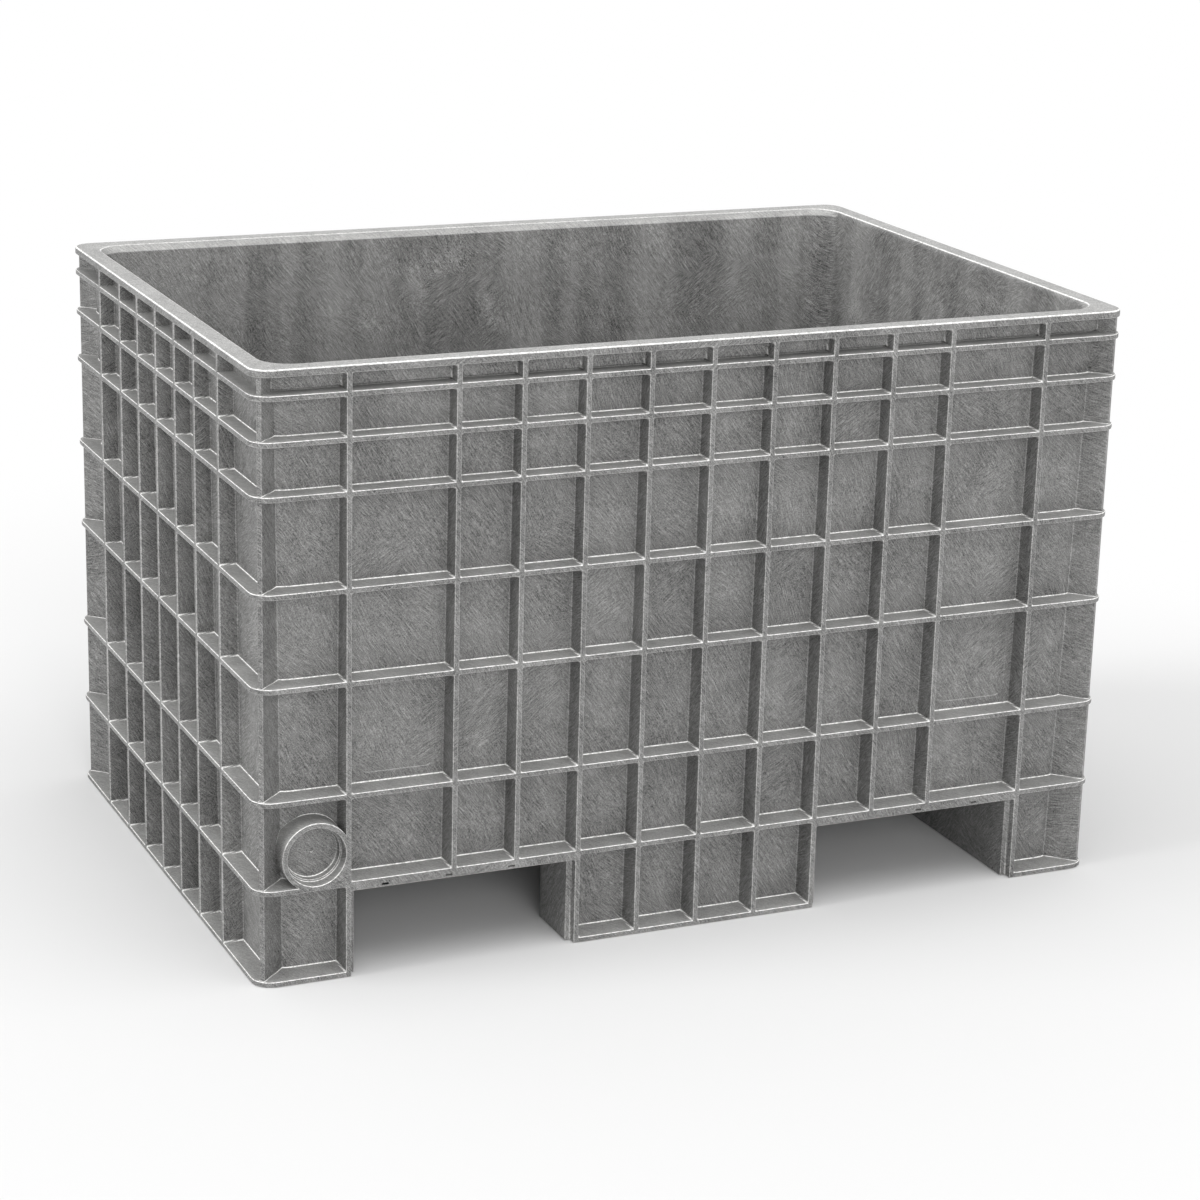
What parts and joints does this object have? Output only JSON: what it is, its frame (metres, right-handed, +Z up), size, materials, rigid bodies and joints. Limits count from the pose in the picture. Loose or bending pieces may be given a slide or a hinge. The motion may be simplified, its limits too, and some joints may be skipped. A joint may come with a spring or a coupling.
{
  "type": "bulk pallet box",
  "caption": "Large open-topped pallet box with fixed ribbed walls, a flat rim, a blank drain boss and moulded feet with fork openings under both long sides.",
  "frame": {"origin": "on the ground, under the middle of the box", "axes": "+X along the long sides, +Y from the side with the drain boss to the side behind it, +Z up"},
  "size_m": [1.2, 0.83, 0.785],
  "materials": {
    "box_plastic": "mid grey structural foam plastic, satin, with fine lighter flow streaks and lighter worn rib edges"
  },
  "bodies": {
    "root": {"box_moulding": "box_plastic"}
  },
  "joints": []
}
